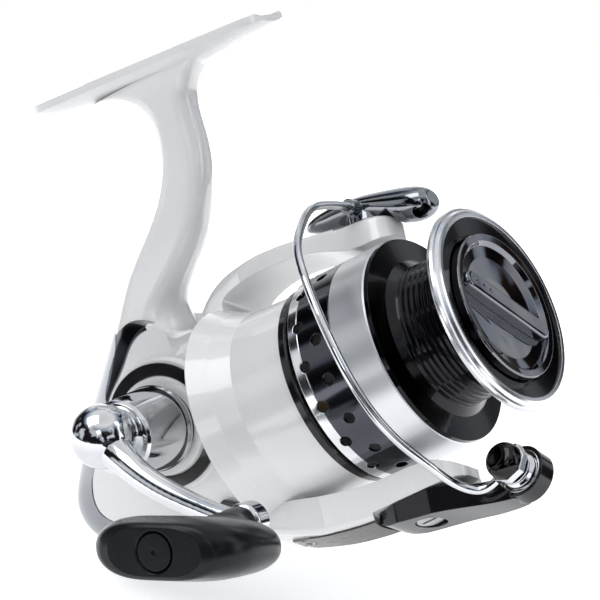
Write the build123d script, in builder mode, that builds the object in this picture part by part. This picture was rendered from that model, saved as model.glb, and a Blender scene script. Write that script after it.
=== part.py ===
from build123d import *
import os
from math import cos, radians, sin

# A 2500-size front-drag spinning reel, right-hand handle, in millimetres.
# Origin: centre of the foot's rod seat.  +X points forward along the main shaft, +Z is up, away
# from the spool and towards the rod, and the handle is on the -Y side.

os.makedirs("parts", exist_ok=True)

# --- driving dimensions ---------------------------------------------------------------------
SHAFT_DROP = 84.5  # rod seat to shaft axis
SKIRT_FRONT_X = 37.0  # rod seat centre to the front edge of the spool skirt
FOOT_TILT = 5.0  # the shaft's nose points this far up towards the rod
FOOT_LENGTH = 66.0
FOOT_WIDTH = 14.0
SEAT_FLOOR_WIDTH = 9.0
SEAT_DEPTH = 0.8

BODY_HALF_WIDTH = 12.0
COVER_SPLIT_Y = 6.0
HANDLE_S = -64.0  # handle axis, measured from the skirt's front edge
HANDLE_Z = 8.0  # handle axis above the shaft axis
ROTOR_PHASE = 22.0  # the bail axis leans this far from vertical at rest

SHAFT_R = 2.0
RUNNING_GAP = 0.06
SKIRT_R = 24.4
SKIRT_BORE = 23.75
SKIRT_LENGTH = 21.0
CUP_R = 22.7
RIM_R = 23.4
ARM_HALF_WIDTH = 5.7
BAIL_S = -9.5  # bail axis, measured from the skirt's front edge
BAIL_OPENING = 105.0

GEAR_TEETH = 37
PINION_TEETH = 7
OSCILLATION_TEETH = 34
SKIRT_HOLES = 16

# --- reference planes -----------------------------------------------------------------------
BASE = Vector(SKIRT_FRONT_X, 0, -SHAFT_DROP)
FORWARD = Vector(1, 0, 0)
OUT_ARM = Vector(0, sin(radians(ROTOR_PHASE)), cos(radians(ROTOR_PHASE)))
OUT_SIDE = Vector(0, -cos(radians(ROTOR_PHASE)), sin(radians(ROTOR_PHASE)))
SHAFT_AXIS = Axis(BASE, FORWARD)
HANDLE_BASE = BASE + Vector(HANDLE_S, 0, HANDLE_Z)
HANDLE_AXIS = Axis(HANDLE_BASE, (0, -1, 0))

# local x runs forward from the skirt's front edge and local y is the radius
profile = Plane(origin=BASE, x_dir=FORWARD, z_dir=(0, -1, 0))


def across(s):
    """The plane square to the shaft, s forward of the skirt's front edge."""
    return Plane(origin=BASE + FORWARD * s, x_dir=(0, 1, 0), z_dir=FORWARD)


def side(y):
    """The plane parallel to the reel's side at Y = y, facing the handle."""
    return Plane(origin=BASE + Vector(0, y, 0), x_dir=FORWARD, z_dir=(0, -1, 0))


def handle_side(y):
    """The plane square to the handle axis at Y = y, centred on that axis."""
    return Plane(origin=HANDLE_BASE + Vector(0, y, 0), x_dir=FORWARD, z_dir=(0, -1, 0))


def arm_side(v):
    """The plane of a rotor arm's side profile, v from the shaft towards the wire."""
    return Plane(origin=BASE + OUT_SIDE * v, x_dir=FORWARD, z_dir=OUT_SIDE)


def bail_level(u):
    """The plane square to the bail axis, u out from the shaft."""
    return Plane(origin=BASE + FORWARD * BAIL_S + OUT_ARM * u, x_dir=FORWARD, z_dir=OUT_ARM)


def rotor_point(s, v, u):
    """A point in the rotor's frame: forward, towards the wire, out along the bail axis."""
    return BASE + FORWARD * s + OUT_SIDE * v + OUT_ARM * u


def shrunk(points, centre, share):
    """The outline drawn in towards a centre."""
    return [(centre[0] + (x - centre[0]) * share, centre[1] + (y - centre[1]) * share) for x, y in points]


# --- body: casing ---------------------------------------------------------------------------
BODY_CENTRE = (-72.0, 6.0)
MID_OUTLINE = [
    (-50, 22), (-56, 26.5), (-63, 33), (-70, 36), (-77.5, 30.5), (-87, 20.7), (-97.7, 8), (-102, 0),
    (-101, -5.5), (-94, -12.5), (-80, -18.5), (-64, -22), (-50, -21.5),
]
SIDE_OUTLINE = [
    (-51, 17.5), (-54, 23.5), (-58.5, 30), (-63, 29.5), (-68.5, 25.3), (-76, 19.5), (-86, 8.5), (-91, 0.5),
    (-91, -3.5), (-87, -8), (-76, -13), (-63, -17.5), (-51, -17.5),
]
COVER_THICKNESS_SHARE = 0.962
CAVITY_SHARE = 0.88
CAVITY_HALF_WIDTH = 10.3


def body_section(points, share):
    """One closed outline of the body."""
    drawn = shrunk(points, BODY_CENTRE, share)
    with BuildSketch() as section:
        with BuildLine():
            Spline(*drawn)
            Line(drawn[-1], drawn[0])
        make_face()
    return section.sketch


def body_lobe(share, half_width):
    """The body's pillow form, fullest on the middle plane."""
    with BuildPart() as lobe:
        with BuildSketch(side(half_width)):
            add(body_section(SIDE_OUTLINE, share))
        with BuildSketch(side(0)):
            add(body_section(MID_OUTLINE, share))
        with BuildSketch(side(-half_width)):
            add(body_section(SIDE_OUTLINE, share))
        loft()
    return lobe.part


outer_form = body_lobe(1.0, BODY_HALF_WIDTH)
case_form = body_lobe(COVER_THICKNESS_SHARE, BODY_HALF_WIDTH)
cavity_form = body_lobe(CAVITY_SHARE, CAVITY_HALF_WIDTH)

REAR_COVER_FRONT = -59.5
with BuildPart() as rear_cover:
    add(outer_form)
    add(case_form, mode=Mode.SUBTRACT)
    split(bisect_by=across(REAR_COVER_FRONT), keep=Keep.BOTTOM)
rear_cover.part.label = "rear_cover"

# The stem leans back from the foot and swings forward again into the body.
STEM_SECTIONS = [
    # height above the shaft, rear edge, front edge, width
    (24.0, -74.0, -57.5, 20.0),
    (34.0, -72.3, -55.0, 15.5),
    (42.0, -65.3, -46.2, 12.0),
    (50.0, -55.6, -38.9, 10.0),
    (58.0, -47.6, -34.6, 9.0),
    (67.0, -43.6, -32.4, 8.6),
    (73.5, -43.4, -31.0, 8.8),
    (78.5, -46.2, -26.5, 9.6),
    (82.0, -55.0, -18.0, 10.4),
]
STEM_ROUNDNESS = 0.42
with BuildPart() as stem:
    for height, rear, front, width in STEM_SECTIONS:
        with BuildSketch(Plane(origin=BASE + Vector((rear + front) / 2, 0, height), z_dir=(0, 0, 1))):
            RectangleRounded(front - rear, width, min(front - rear, width) * STEM_ROUNDNESS)
    loft()

seat = Plane(
    origin=(0, 0, 0),
    x_dir=(cos(radians(FOOT_TILT)), 0, -sin(radians(FOOT_TILT))),
    z_dir=(sin(radians(FOOT_TILT)), 0, cos(radians(FOOT_TILT))),
)
# distance along the foot, width there, depth below the seat floor
FOOT_SECTIONS = [
    (-0.500, 0.46, 1.3),
    (-0.470, 0.80, 2.3),
    (-0.400, 0.93, 3.2),
    (-0.250, 1.00, 3.9),
    (0.000, 1.00, 4.4),
    (0.250, 1.00, 3.9),
    (0.400, 0.95, 3.0),
    (0.480, 0.80, 2.2),
    (0.500, 0.62, 1.6),
]
FOOT_EDGE = 0.9
with BuildPart() as foot:
    for station, share, depth in FOOT_SECTIONS:
        half = FOOT_WIDTH * share / 2
        at = Plane(
            origin=seat.from_local_coords(Vector(station * FOOT_LENGTH, 0, 0)),
            x_dir=(0, 1, 0),
            z_dir=seat.x_dir,
        )
        with BuildSketch(at):
            with BuildLine():
                Line((-half, -FOOT_EDGE), (-half, SEAT_DEPTH))
                Line((-half, SEAT_DEPTH), (half, SEAT_DEPTH))
                Line((half, SEAT_DEPTH), (half, -FOOT_EDGE))
                ThreePointArc((half, -FOOT_EDGE), (0, -depth), (-half, -FOOT_EDGE))
            make_face()
    loft()
    with BuildSketch(seat):
        Rectangle(FOOT_LENGTH * 1.1, SEAT_FLOOR_WIDTH)
    extrude(amount=SEAT_DEPTH * 2, taper=-50, mode=Mode.SUBTRACT)

BOSS_R = 16.0
BOSS_FACE_Y = -14.2
HUB_FACE_Y = -15.8
DECAL_OUTER_R = 14.35
DECAL_INNER_R = 11.5
BEARING_SEAT = (-50.8, -47.0)
CLUTCH_SEAT = (-47.0, -43.7)
NOSE_R = 12.5
BEARING_R = 8.0
CLUTCH_R = 9.2
JOURNAL_R = 3.5
GEAR_SHAFT_R = 3.2
GEAR_BEARING_R = 5.5
GEAR_BEARING_LENGTH = 2.6
PORT_R = 3.6
SCREW_PLACES = [(-61.5, 25.0), (-73.0, 18.3), (-78.0, -9.5), (-64.5, -13.0)]
SCREW_R = 1.1
SCREW_HEAD_R = 2.1
LEVER_PIVOT = (-58.0, -14.5)
LEVER_SHAFT_R = 1.0
GUIDE_Y = -3.7
GUIDE_Z = -0.5
GUIDE_R = 0.8
CRANK_CENTRE = (-82.5, 3.0)
CRANK_POST_R = 1.94
CLUTCH_SCREW_RADIUS = 10.9


def turned(points):
    """A part turned about the shaft axis, from its half section (s, radius)."""
    with BuildPart() as blank:
        with BuildSketch(profile):
            with BuildLine():
                Polyline(*points, close=True)
            make_face()
        revolve(axis=SHAFT_AXIS)
    return blank.part


def rod(start, end, radius):
    """A round bar between two points."""
    run = Vector(end) - Vector(start)
    with BuildPart() as bar:
        with BuildSketch(Plane(origin=start, z_dir=run)):
            Circle(radius)
        extrude(amount=run.length)
    return bar.part


def ring(start, end, inner, outer):
    """A plain ring between two points."""
    run = Vector(end) - Vector(start)
    with BuildPart() as band:
        with BuildSketch(Plane(origin=start, z_dir=run)):
            Circle(outer)
            Circle(inner, mode=Mode.SUBTRACT)
        extrude(amount=run.length)
    return band.part


def side_point(s, y, z):
    """A point s forward of the skirt's front edge and z above the shaft axis."""
    return BASE + Vector(s, y, z)


def handle_point(y):
    """The point of the handle axis at Y = y."""
    return HANDLE_BASE + Vector(0, y, 0)


with BuildPart() as casing:
    add(outer_form)
    add(rear_cover.part, mode=Mode.SUBTRACT)
    with BuildSketch(handle_side(-8)):
        Circle(BOSS_R)
    extrude(amount=-8 - BOSS_FACE_Y, taper=8)
    with BuildSketch(handle_side(BOSS_FACE_Y)):
        Circle(DECAL_INNER_R)
    extrude(amount=BOSS_FACE_Y - HUB_FACE_Y, taper=12)
    with BuildSketch(handle_side(8)):
        Circle(BOSS_R)
    extrude(amount=BOSS_FACE_Y + 8, taper=8)
    with BuildSketch(handle_side(-BOSS_FACE_Y)):
        Circle(DECAL_INNER_R)
    extrude(amount=HUB_FACE_Y - BOSS_FACE_Y, taper=12)
    # nose that carries the pinion bearing and the one-way clutch
    with BuildSketch(across(-52)):
        Circle(NOSE_R)
    extrude(amount=52 + CLUTCH_SEAT[1])
    add(cavity_form, mode=Mode.SUBTRACT)
    with BuildSketch(across(-56)):
        Circle(JOURNAL_R + 0.4)
    extrude(amount=12, mode=Mode.SUBTRACT)
    with BuildSketch(across(BEARING_SEAT[0])):
        Circle(BEARING_R)
    extrude(amount=20, mode=Mode.SUBTRACT)
    with BuildSketch(across(CLUTCH_SEAT[0])):
        Circle(CLUTCH_R)
    extrude(amount=20, mode=Mode.SUBTRACT)
    with BuildSketch(across(CLUTCH_SEAT[0])):
        with PolarLocations(CLUTCH_SCREW_RADIUS, 3, start_angle=30):
            Circle(0.8)
    extrude(amount=20, mode=Mode.SUBTRACT)
    # through bore and bearing pockets of the handle shaft
    with BuildSketch(handle_side(20)):
        Circle(PORT_R)
    extrude(amount=40, mode=Mode.SUBTRACT)
    with BuildSketch(handle_side(CAVITY_HALF_WIDTH + GEAR_BEARING_LENGTH)):
        Circle(GEAR_BEARING_R)
    extrude(amount=2 * (CAVITY_HALF_WIDTH + GEAR_BEARING_LENGTH), mode=Mode.SUBTRACT)

# ring cut through the casing, so that the arms pass in front of the stem
with BuildPart() as rotor_sweep:
    with BuildSketch(profile):
        with BuildLine():
            Polyline(
                (-55.2, 24.4), (-55.2, 31.0), (-53.2, 33.4), (-50.5, 35.8), (-46, 39.2), (-38, 40.6),
                (-20, 40.6), (-20, 24.4), close=True,
            )
        make_face()
    revolve(axis=SHAFT_AXIS)

# screw holes, counterbored from the cover side
with BuildPart() as screw_cuts:
    with BuildSketch(side(14)):
        with Locations(*SCREW_PLACES):
            Circle(SCREW_HEAD_R + 0.05)
    extrude(amount=14 - 10.9)
    with BuildSketch(side(12)):
        with Locations(*SCREW_PLACES):
            Circle(SCREW_R)
    extrude(amount=12)

with BuildPart() as housing_pillars:
    with BuildSketch(side(COVER_SPLIT_Y)):
        with Locations(*SCREW_PLACES[1:]):
            Circle(2.4)
    extrude(amount=COVER_SPLIT_Y + 11)

with BuildPart() as body_housing:
    add(casing.part)
    split(bisect_by=side(COVER_SPLIT_Y), keep=Keep.TOP)
    add(stem.part)
    add(foot.part)
    add(cavity_form, mode=Mode.SUBTRACT)
    add(housing_pillars.part)
    # lugs that hold the slider's guide rod
    for near, far, wall in [(-95.8, -93.4, -7.0), (-64.0, -62.4, -10.9)]:
        with BuildSketch(across(near)):
            with Locations(((wall + GUIDE_Y + 1.4) / 2, GUIDE_Z)):
                Rectangle(GUIDE_Y + 1.4 - wall, 3.6)
        extrude(amount=far - near)
    with BuildSketch(across(-95.8)):
        with Locations((GUIDE_Y, GUIDE_Z)):
            Circle(GUIDE_R)
    extrude(amount=34, mode=Mode.SUBTRACT)
    add(rear_cover.part, mode=Mode.SUBTRACT)
    add(rotor_sweep.part, mode=Mode.SUBTRACT)
    add(screw_cuts.part, mode=Mode.SUBTRACT)
    with BuildSketch(side(-8)):
        with Locations(LEVER_PIVOT):
            Circle(LEVER_SHAFT_R + RUNNING_GAP)
    extrude(amount=6, mode=Mode.SUBTRACT)
body_housing.part.label = "body_housing"

with BuildPart() as side_cover:
    add(casing.part)
    with BuildSketch(side(11)):
        with Locations(*SCREW_PLACES[1:]):
            Circle(2.4)
    extrude(amount=11 - COVER_SPLIT_Y)
    split(bisect_by=side(COVER_SPLIT_Y), keep=Keep.BOTTOM)
    add(stem.part, mode=Mode.SUBTRACT)
    add(rotor_sweep.part, mode=Mode.SUBTRACT)
    add(screw_cuts.part, mode=Mode.SUBTRACT)
    # post that the oscillation gear turns on
    add(rod(side_point(CRANK_CENTRE[0], 11, CRANK_CENTRE[1]), side_point(CRANK_CENTRE[0], 3.5, CRANK_CENTRE[1]),
            CRANK_POST_R))
side_cover.part.label = "side_cover"

with BuildPart() as body_screws:
    for s, z in SCREW_PLACES:
        add(rod(side_point(s, 2.0, z), side_point(s, 10.9, z), SCREW_R))
        add(rod(side_point(s, 10.9, z), side_point(s, 11.9, z), SCREW_HEAD_R))
    for s, z in SCREW_PLACES:
        with BuildSketch(side(11.9)):
            with Locations((s, z)):
                Rectangle(2.6, 0.55)
                Rectangle(0.55, 2.6)
        extrude(amount=0.5, mode=Mode.SUBTRACT)
body_screws.part.label = "body_screws"

# printed rings round the handle bosses
with BuildPart() as boss_ring:
    add(ring(handle_point(BOSS_FACE_Y), handle_point(BOSS_FACE_Y - 0.5), DECAL_INNER_R, DECAL_OUTER_R))
    add(ring(handle_point(-BOSS_FACE_Y), handle_point(-BOSS_FACE_Y + 0.5), DECAL_INNER_R, DECAL_OUTER_R))
boss_ring.part.label = "boss_ring"

with BuildPart() as handle_seal:
    add(ring(handle_point(HUB_FACE_Y), handle_point(HUB_FACE_Y - 0.9), PORT_R, 9.0))
handle_seal.part.label = "handle_seal"

with BuildPart() as gear_bearings:
    for face in (-CAVITY_HALF_WIDTH, CAVITY_HALF_WIDTH):
        outward = 1 if face > 0 else -1
        add(ring(handle_point(face), handle_point(face + outward * GEAR_BEARING_LENGTH),
                 GEAR_SHAFT_R + RUNNING_GAP, GEAR_BEARING_R))
gear_bearings.part.label = "gear_bearings"

with BuildPart() as pinion_bearing:
    add(ring(side_point(BEARING_SEAT[0], 0, 0), side_point(BEARING_SEAT[1], 0, 0), JOURNAL_R + 0.05, BEARING_R))
pinion_bearing.part.label = "pinion_bearing"

with BuildPart() as one_way_clutch:
    add(ring(side_point(CLUTCH_SEAT[0], 0, 0), side_point(CLUTCH_SEAT[1], 0, 0), JOURNAL_R + 0.05, CLUTCH_R))
one_way_clutch.part.label = "one_way_clutch"

with BuildPart() as clutch_cover:
    with BuildSketch(across(CLUTCH_SEAT[1])):
        Circle(NOSE_R - 0.2)
        Circle(JOURNAL_R + 0.5, mode=Mode.SUBTRACT)
        with PolarLocations(CLUTCH_SCREW_RADIUS, 3, start_angle=30):
            Circle(0.8, mode=Mode.SUBTRACT)
    extrude(amount=0.8)
    with BuildSketch(across(CLUTCH_SEAT[1] + 0.4)):
        with PolarLocations(CLUTCH_SCREW_RADIUS, 3, start_angle=30):
            Circle(1.35)
    extrude(amount=1, mode=Mode.SUBTRACT)
clutch_cover.part.label = "clutch_cover"

with BuildPart() as clutch_screws:
    with BuildSketch(across(CLUTCH_SEAT[1] - 2.8)):
        with PolarLocations(CLUTCH_SCREW_RADIUS, 3, start_angle=30):
            Circle(0.8)
    extrude(amount=3.2)
    with BuildSketch(across(CLUTCH_SEAT[1] + 0.4)):
        with PolarLocations(CLUTCH_SCREW_RADIUS, 3, start_angle=30):
            Circle(1.3)
    extrude(amount=0.4)
clutch_screws.part.label = "clutch_screws"

with BuildPart() as slider_guide:
    add(rod(side_point(-95.8, GUIDE_Y, GUIDE_Z), side_point(-62.4, GUIDE_Y, GUIDE_Z), GUIDE_R))
slider_guide.part.label = "slider_guide"

with BuildPart() as port_cap:
    add(rod(handle_point(13.2), handle_point(-HUB_FACE_Y), PORT_R))
    with BuildSketch(handle_side(-HUB_FACE_Y)):
        Circle(6.2)
    extrude(amount=-1.5, taper=12)
    with BuildSketch(handle_side(-HUB_FACE_Y + 1.5)):
        Rectangle(7.5, 1.4)
    extrude(amount=0.7, mode=Mode.SUBTRACT)
port_cap.part.label = "port_cap"

# small lever under the boss that switches the anti-reverse off
with BuildPart() as anti_reverse_lever:
    with BuildSketch(side(-12.4)):
        with BuildLine():
            Polyline((-59.6, -13.6), (-57.4, -12.9), (-52.6, -16.2), (-53.4, -18.6), (-58.6, -16.2), close=True)
        make_face()
    extrude(amount=1.4)
    add(rod(side_point(LEVER_PIVOT[0], -12.6, LEVER_PIVOT[1]), side_point(LEVER_PIVOT[0], -9.4, LEVER_PIVOT[1]),
            LEVER_SHAFT_R))
anti_reverse_lever.part.label = "anti_reverse_lever"

# --- handle side: drive gear, oscillation gear, crank handle and knob ---------------------------
BALL_CENTRE = side_point(-64.4, -38.5, 9.5)
BALL_R = 7.3
KNOB_AXIS = (-31.5, -22.2)
SPINDLE_R = 1.9
GEAR_FACE_Y = 4.4
GEAR_BACK_Y = 6.2
STUB_R = 2.6


def toothed(plane, teeth, root, tip, width, thickness):
    """A straight-cut gear blank with its teeth."""
    with BuildPart() as blank:
        with BuildSketch(plane):
            Circle(root)
            with PolarLocations((root + tip) / 2, teeth):
                Rectangle((tip - root) * 1.3, width)
            Circle(tip, mode=Mode.INTERSECT)
        extrude(amount=thickness)
    return blank.part


with BuildPart() as drive_gear:
    add(toothed(handle_side(GEAR_BACK_Y), GEAR_TEETH, 9.1, 10.0, 0.75, GEAR_BACK_Y - GEAR_FACE_Y))
    # face teeth that turn the pinion
    with BuildSketch(handle_side(GEAR_FACE_Y)):
        with PolarLocations(8.3, GEAR_TEETH):
            Rectangle(1.8, 0.7)
    extrude(amount=1.0)
    add(rod(handle_point(12.6), handle_point(-17.0), GEAR_SHAFT_R))
    add(rod(handle_point(-17.0), handle_point(-30.0), STUB_R))
drive_gear.part.label = "drive_gear"

with BuildPart() as oscillation_gear:
    crank_plane = Plane(
        origin=side_point(CRANK_CENTRE[0], 5.6, CRANK_CENTRE[1]), x_dir=FORWARD, z_dir=(0, -1, 0)
    )
    add(toothed(crank_plane, OSCILLATION_TEETH, 7.95, 8.85, 0.75, 2.0))
    add(rod(side_point(CRANK_CENTRE[0] + 7, 3.6, CRANK_CENTRE[1]), side_point(CRANK_CENTRE[0] + 7, 3.15, CRANK_CENTRE[1]),
            0.8))
    with BuildSketch(crank_plane):
        Circle(CRANK_POST_R + RUNNING_GAP)
    extrude(amount=2.0, mode=Mode.SUBTRACT)
oscillation_gear.part.label = "oscillation_gear"

handle_section = Plane(origin=HANDLE_BASE, x_dir=(0, -1, 0), z_dir=(1, 0, 0))
with BuildPart() as handle_collar:
    with BuildSketch(handle_section):
        with BuildLine():
            Polyline(
                (17.1, STUB_R), (17.1, -9.0), (17.5, -9.7), (18.4, -9.85), (19.4, -9.6), (33.2, -8.45),
                (34.0, -7.9), (34.2, -7.0), (34.2, STUB_R), close=True,
            )
        make_face()
        with BuildLine():
            Polyline((17, 0), (35, 0), (35, 8), (17, 8), close=True)
        make_face(mode=Mode.SUBTRACT)
    revolve(axis=HANDLE_AXIS)
    add(rod(handle_point(-17.0), handle_point(-30.0), STUB_R), mode=Mode.SUBTRACT)
    with Locations(BALL_CENTRE):
        Sphere(BALL_R, mode=Mode.SUBTRACT)
handle_collar.part.label = "handle_collar"

# centre line of the arm and its radius along the way
ARM_STATIONS = [
    ((-61.6, -40.3, 4.9), 4.0),
    ((-59.6, -41.2, 1.8), 3.4),
    ((-54.3, -43.5, -4.7), 3.0),
    ((-47.3, -46.0, -11.1), 2.75),
    ((-41.2, -48.0, -15.8), 2.6),
    ((-33.6, -49.8, -21.2), 2.5),
]
PIN_DIRECTION = Vector(0.76, 0, 0.65)
with BuildPart() as handle_arm:
    for index, (place, radius) in enumerate(ARM_STATIONS):
        before = Vector(ARM_STATIONS[max(index - 1, 0)][0])
        after = Vector(ARM_STATIONS[min(index + 1, len(ARM_STATIONS) - 1)][0])
        with BuildSketch(Plane(origin=side_point(*place), x_dir=(0, -1, 0.3), z_dir=after - before)):
            Circle(radius)
    loft()
    with Locations(BALL_CENTRE):
        Sphere(BALL_R)
    add(rod(side_point(KNOB_AXIS[0], -47.6, KNOB_AXIS[1]), side_point(KNOB_AXIS[0], -52.4, KNOB_AXIS[1]), 4.5))
    fillet(handle_arm.edges().filter_by(GeomType.CIRCLE).sort_by(Axis.Y)[0], 1.2)
    add(rod(handle_point(-17.0), handle_point(-30.0), STUB_R), mode=Mode.SUBTRACT)
    add(rod(side_point(KNOB_AXIS[0], -49.5, KNOB_AXIS[1]), side_point(KNOB_AXIS[0], -60, KNOB_AXIS[1]), SPINDLE_R),
        mode=Mode.SUBTRACT)
    add(rod(BALL_CENTRE - PIN_DIRECTION * 9, BALL_CENTRE + PIN_DIRECTION * 9, 1.3), mode=Mode.SUBTRACT)
handle_arm.part.label = "handle_arm"

# cross pin that holds the crank arm to the collar
with BuildPart() as arm_pin:
    add(rod(BALL_CENTRE - PIN_DIRECTION * 7.2, BALL_CENTRE + PIN_DIRECTION * 7.2, 1.3))
arm_pin.part.label = "arm_pin"

with BuildPart() as knob_spindle:
    add(rod(side_point(KNOB_AXIS[0], -49.5, KNOB_AXIS[1]), side_point(KNOB_AXIS[0], -85.6, KNOB_AXIS[1]), SPINDLE_R))
knob_spindle.part.label = "knob_spindle"

# depth from the reel's middle plane, width and thickness of the T-shaped grip
KNOB_SECTIONS = [
    (53.0, 8.4, 8.0),
    (57.0, 9.0, 7.8),
    (59.6, 19.0, 6.6),
    (62.0, 28.4, 6.6),
    (66.0, 32.2, 7.8),
    (72.0, 33.6, 10.0),
    (78.0, 34.4, 12.8),
    (82.0, 34.0, 13.9),
    (85.4, 31.4, 12.8),
    (87.4, 26.4, 10.0),
    (88.0, 22.0, 8.2),
]
KNOB_LEAN = (0.921, 0, -0.389)
with BuildPart() as handle_knob:
    for depth, width, thickness in KNOB_SECTIONS:
        at = Plane(origin=side_point(KNOB_AXIS[0], -depth, KNOB_AXIS[1]), x_dir=KNOB_LEAN, z_dir=(0, -1, 0))
        with BuildSketch(at):
            RectangleRounded(width, thickness, thickness * 0.44)
    loft()
    add(rod(side_point(KNOB_AXIS[0], -50, KNOB_AXIS[1]), side_point(KNOB_AXIS[0], -86.3, KNOB_AXIS[1]),
            SPINDLE_R + RUNNING_GAP), mode=Mode.SUBTRACT)
    add(rod(side_point(KNOB_AXIS[0], -50, KNOB_AXIS[1]), side_point(KNOB_AXIS[0], -56, KNOB_AXIS[1]), 3.2),
        mode=Mode.SUBTRACT)
    add(rod(side_point(KNOB_AXIS[0], -83, KNOB_AXIS[1]), side_point(KNOB_AXIS[0], -86.3, KNOB_AXIS[1]), 3.2),
        mode=Mode.SUBTRACT)
    add(rod(side_point(KNOB_AXIS[0], -86.3, KNOB_AXIS[1]), side_point(KNOB_AXIS[0], -89, KNOB_AXIS[1]), 4.0),
        mode=Mode.SUBTRACT)
handle_knob.part.label = "handle_knob"

with BuildPart() as knob_bushes:
    add(ring(side_point(KNOB_AXIS[0], -53.2, KNOB_AXIS[1]), side_point(KNOB_AXIS[0], -56, KNOB_AXIS[1]),
             SPINDLE_R + RUNNING_GAP, 3.2))
    add(ring(side_point(KNOB_AXIS[0], -83, KNOB_AXIS[1]), side_point(KNOB_AXIS[0], -86, KNOB_AXIS[1]),
             SPINDLE_R + RUNNING_GAP, 3.2))
knob_bushes.part.label = "knob_bushes"

with BuildPart() as knob_cap:
    add(rod(side_point(KNOB_AXIS[0], -86.3, KNOB_AXIS[1]), side_point(KNOB_AXIS[0], -87.9, KNOB_AXIS[1]), 4.0))
    add(rod(side_point(KNOB_AXIS[0], -87.5, KNOB_AXIS[1]), side_point(KNOB_AXIS[0], -88.0, KNOB_AXIS[1]), 0.7),
        mode=Mode.SUBTRACT)
knob_cap.part.label = "knob_cap"

for piece in (body_housing, side_cover, rear_cover, body_screws, boss_ring, handle_seal, gear_bearings,
              pinion_bearing, one_way_clutch, clutch_cover, clutch_screws, slider_guide, port_cap,
              anti_reverse_lever, drive_gear, oscillation_gear, handle_collar, handle_arm, arm_pin,
              knob_spindle, handle_knob, knob_bushes, knob_cap):
    export_step(piece.part, "parts/" + piece.part.label + ".step")

# --- rotor ----------------------------------------------------------------------------------
TOP_OUTER = [(-54, 26.6), (-51, 31.0), (-47.5, 33.9), (-42, 36.0), (-36.4, 36.8), (-30.6, 36.5), (-25.5, 35.7),
             (-12.4, 33.4), (-1.8, 32.2)]
TOP_INNER = [(-1.8, 26.8), (-8, 26.3), (-14, 27.2), (-19, 29.2), (-25, 31.0), (-31, 31.8), (-39, 31.8), (-44, 30.6),
             (-47.2, 28.4), (-47.4, 26.0)]
BOTTOM_OUTER = [(-54, 25.6), (-50, 28.2), (-45.3, 30.2), (-40.6, 32.0), (-32.6, 34.4), (-27.1, 35.4), (-21.7, 36.1),
                (-12, 36.4), (3.8, 36.0)]
BOTTOM_INNER = [(3.8, 32.2), (-0.7, 29.8), (-8, 28.2), (-17, 28.0), (-29.2, 26.3), (-38.6, 24.2), (-44, 23.6),
                (-47.4, 25.0)]
ARM_FLARE = 9.8
ARM_EDGE = 1.5
TOP_SEAT_U = 32.6
BOTTOM_SEAT_U = 34.5
PIVOT_R = 1.8
PIVOT_CLEARANCE = 0.06


def arm_profile(outer, inner, sign):
    """The side profile of one rotor arm, sign -1 for the arm below."""
    outer = [(s, sign * u) for s, u in outer]
    inner = [(s, sign * u) for s, u in inner]
    with BuildSketch() as flat:
        with BuildLine():
            Spline(*outer)
            Line(outer[-1], inner[0])
            Spline(*inner)
            Line(inner[-1], outer[0])
        make_face()
    return flat.sketch


def plan_outline(tip, corner):
    """Plan view of an arm: flared at the root, rounded at the tip."""
    with BuildSketch() as flat:
        with BuildLine():
            Polyline(
                (tip, ARM_HALF_WIDTH), (-24, ARM_HALF_WIDTH), (-33, 7.0), (-44.5, ARM_FLARE), (-44.5, -ARM_FLARE),
                (-33, -7.0), (-24, -ARM_HALF_WIDTH), (tip, -ARM_HALF_WIDTH), close=True,
            )
        make_face()
        fillet(flat.vertices().group_by(Axis.X)[-1], corner)
    return flat.sketch


def rounded_arm(outer, inner, sign, tip, corner):
    """One arm cut from its side profile and its plan."""
    with BuildPart() as arm:
        with BuildSketch(arm_side(-12)):
            add(arm_profile(outer, inner, sign))
        extrude(amount=24)
        with BuildSketch(bail_level(0)):
            add(plan_outline(tip, corner))
        extrude(amount=sign * 50, mode=Mode.INTERSECT)
        outer_face = arm.faces().sort_by(Axis(BASE, OUT_ARM * sign))[-1]
        fillet(outer_face.edges(), ARM_EDGE)
    return arm.part


COVER_OUTER = [(-46.5, -30.2), (-44, -31.3), (-40.6, -32.5), (-32.6, -34.8), (-27.1, -35.8), (-21.7, -36.5), (-18, -36.7)]
COVER_INNER = [(-18, -34.6), (-27, -34.0), (-36, -31.9), (-42, -29.8), (-46.5, -27.6)]
# local x forward from the bail axis, local y away from the wire
COVER_PLAN = [(-8, -4.9), (-22, -4.6), (-30, -3.4), (-36.5, -0.6), (-37.3, 2.4), (-35.5, 5.9), (-24, 5.3), (-8, 5.1)]
with BuildPart() as cover_blank:
    with BuildSketch(arm_side(-9)):
        with BuildLine():
            Spline(*COVER_OUTER)
            Line(COVER_OUTER[-1], COVER_INNER[0])
            Spline(*COVER_INNER)
            Line(COVER_INNER[-1], COVER_OUTER[0])
        make_face()
    extrude(amount=18)
    with BuildSketch(bail_level(0)):
        with BuildLine():
            Polyline(*COVER_PLAN, close=True)
        make_face()
    extrude(amount=-50, mode=Mode.INTERSECT)
    with BuildSketch(bail_level(-30)):
        Circle(12.2)
    extrude(amount=-12, mode=Mode.SUBTRACT)

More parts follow.
